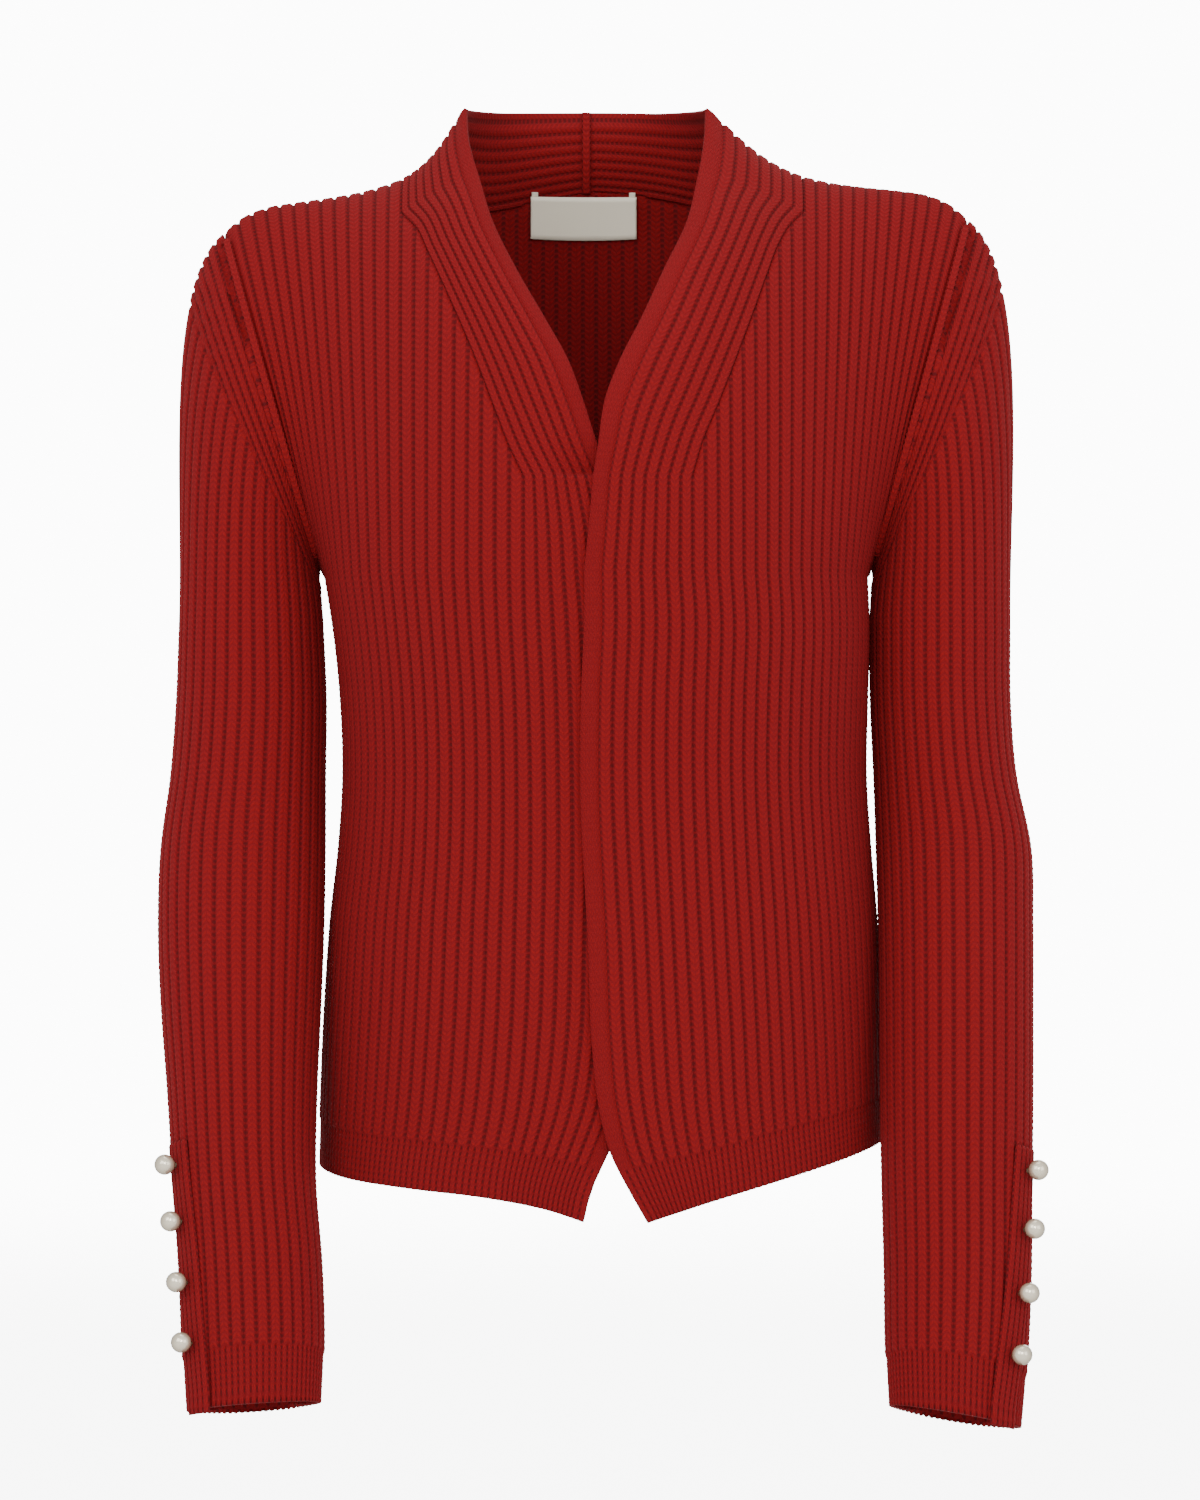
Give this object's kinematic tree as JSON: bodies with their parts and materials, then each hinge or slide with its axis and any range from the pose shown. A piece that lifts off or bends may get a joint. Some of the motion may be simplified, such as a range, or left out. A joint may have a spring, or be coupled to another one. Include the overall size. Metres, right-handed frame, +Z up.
{
  "type": "knit blazer",
  "caption": "Open-front ribbed knit blazer with a stand collar running into front bands, cutaway hem points, long set-in sleeves and pearl-buttoned cuff vents.",
  "frame": {"origin": "middle of the shoulder level, between the two shoulder seams, where the shoulders or a stand hold the blazer", "axes": "+Z up the body, +X towards the wearer's left sleeve, -Y out of the front opening"},
  "size_m": [0.4633, 0.2274, 0.6969],
  "materials": {
    "back_knit": "ribbed wool knit, matt",
    "front_left_knit": "ribbed wool knit, matt",
    "front_right_knit": "ribbed wool knit, matt",
    "sleeve_left_knit": "ribbed wool knit, matt",
    "sleeve_right_knit": "ribbed wool knit, matt",
    "placket_left_knit": "plain wool knit, matt",
    "placket_right_knit": "plain wool knit, matt",
    "button_left_1_pearl": "pearl lustre",
    "button_left_2_pearl": "pearl lustre",
    "button_left_3_pearl": "pearl lustre",
    "button_left_4_pearl": "pearl lustre",
    "button_right_1_pearl": "pearl lustre",
    "button_right_2_pearl": "pearl lustre",
    "button_right_3_pearl": "pearl lustre",
    "button_right_4_pearl": "pearl lustre",
    "label_satin": "woven satin, soft sheen"
  },
  "bodies": {
    "root": {"back": "back_knit", "front_left": "front_left_knit", "front_right": "front_right_knit", "sleeve_left": "sleeve_left_knit", "sleeve_right": "sleeve_right_knit", "placket_left": "placket_left_knit", "placket_right": "placket_right_knit", "button_left_1": "button_left_1_pearl", "button_left_2": "button_left_2_pearl", "button_left_3": "button_left_3_pearl", "button_left_4": "button_left_4_pearl", "button_right_1": "button_right_1_pearl", "button_right_2": "button_right_2_pearl", "button_right_3": "button_right_3_pearl", "button_right_4": "button_right_4_pearl", "label": "label_satin"}
  },
  "joints": []
}
